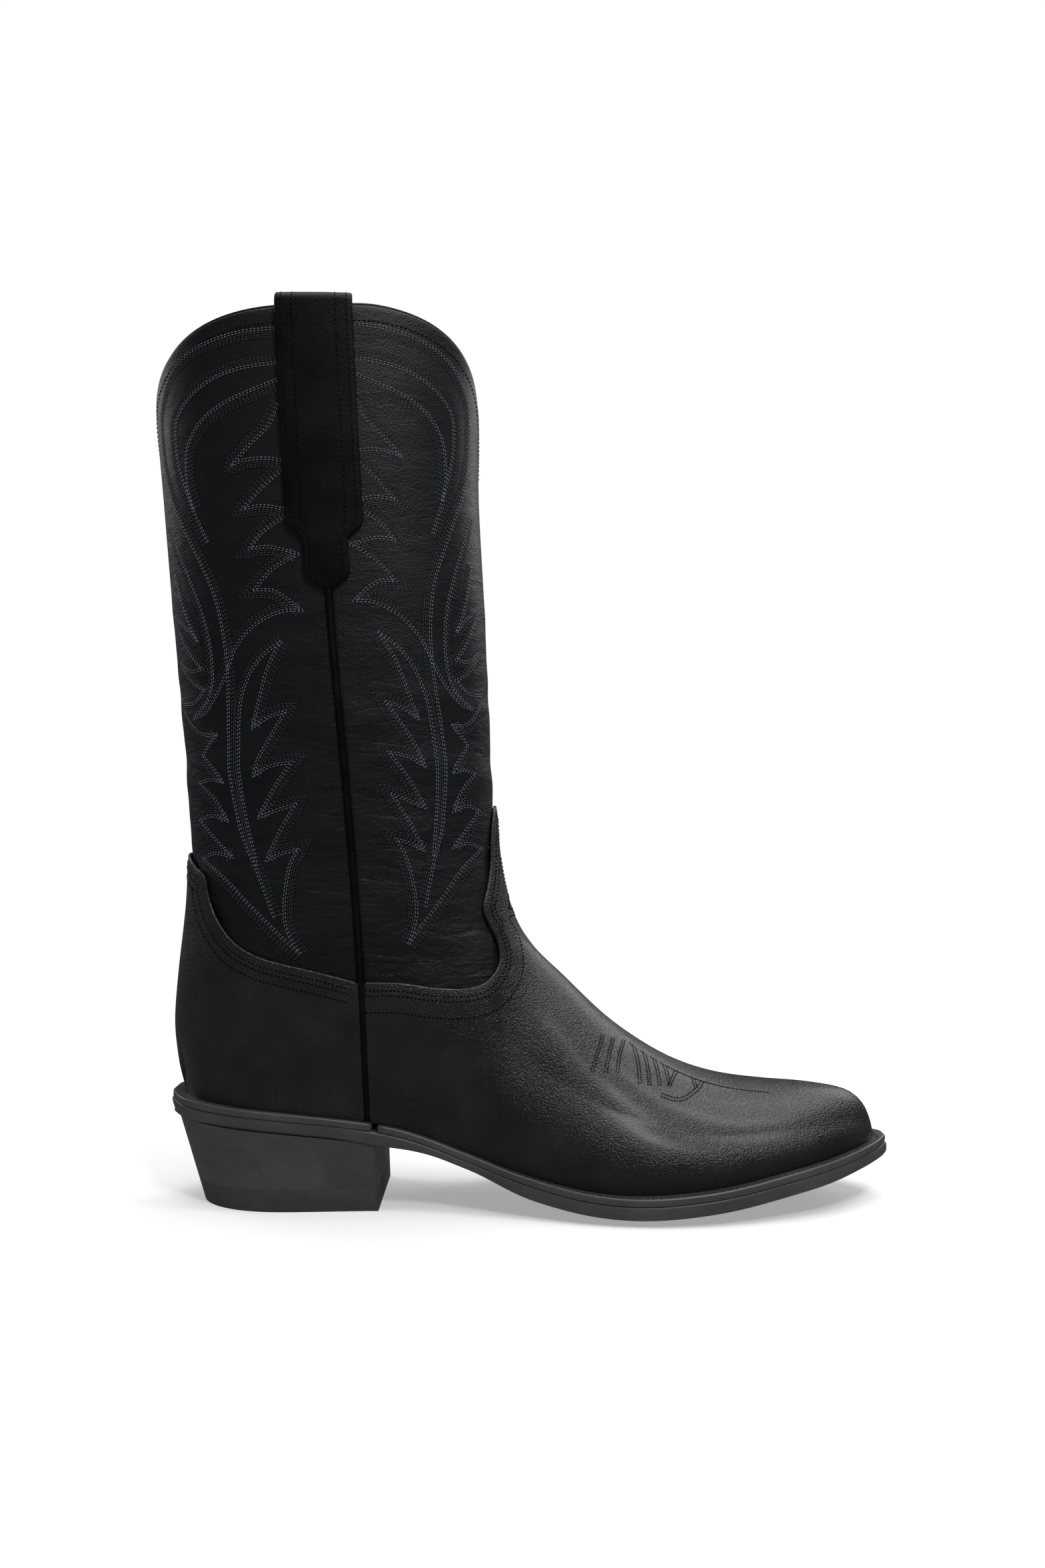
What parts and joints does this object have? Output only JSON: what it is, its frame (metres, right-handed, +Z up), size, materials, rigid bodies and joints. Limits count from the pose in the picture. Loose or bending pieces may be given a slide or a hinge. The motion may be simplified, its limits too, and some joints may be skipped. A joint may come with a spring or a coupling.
{
  "type": "cowboy boot",
  "caption": "Pull-on western boot for a right foot: tall stitched shaft with dipped rim and pull straps, pointed toe, welted sole and slanted stacked heel.",
  "frame": {"origin": "on the floor, under the middle of the boot's box", "axes": "+X towards the toe, +Y towards the inner (medial) side, +Z up"},
  "size_m": [0.3116, 0.1063, 0.3735],
  "materials": {
    "foot_leather": "black pebbled leather, semi-gloss",
    "shaft_leather": "black smooth leather with fine creases, satin",
    "trim_leather": "black smooth leather, satin",
    "lining_leather": "undyed lining leather, matte",
    "stiffener": "pressed leather board",
    "sole_leather": "blacked and burnished sole leather",
    "heel_rubber": "black rubber, matte",
    "cork": "cork composition",
    "peg_wood": "pale lemonwood pegs",
    "steel": "plain steel",
    "thread": "waxed black thread"
  },
  "bodies": {
    "foot": {"heel_cap": "heel_rubber", "heel_lift_1": "sole_leather", "heel_lift_2": "sole_leather", "heel_lift_3": "sole_leather", "heel_wedge": "sole_leather", "heel_nails": "steel", "cap_nails": "steel", "outsole": "sole_leather", "welt": "sole_leather", "welt_thread": "thread", "heel_rand": "sole_leather", "forepart_filler": "cork", "steel_shank": "steel", "shank_pegs": "peg_wood", "insole": "lining_leather", "sock_liner": "lining_leather", "toe_box": "stiffener", "heel_counter": "stiffener", "vamp": "foot_leather", "counter_cover": "foot_leather", "vamp_lining": "lining_leather", "heel_lining": "lining_leather"},
    "shaft": {"shaft_front": "shaft_leather", "shaft_back": "shaft_leather", "lining_front": "lining_leather", "lining_back": "lining_leather", "pull_strap_outer": "trim_leather", "pull_strap_inner": "trim_leather", "rim_bead": "trim_leather", "piping_outer": "trim_leather", "piping_inner": "trim_leather"}
  },
  "joints": [
    {"name": "ankle_flex", "type": "hinge", "parent": "foot", "child": "shaft", "pos_m": [-0.074, 0, 0.115], "axis": [0, 1, 0], "range_deg": [-10, 20], "stiffness_Nm_per_rad": 6, "deforming": ["vamp", "counter_cover", "vamp_lining", "heel_lining", "heel_counter", "shaft_front", "shaft_back", "lining_front", "lining_back", "piping_outer", "piping_inner"]}
  ]
}
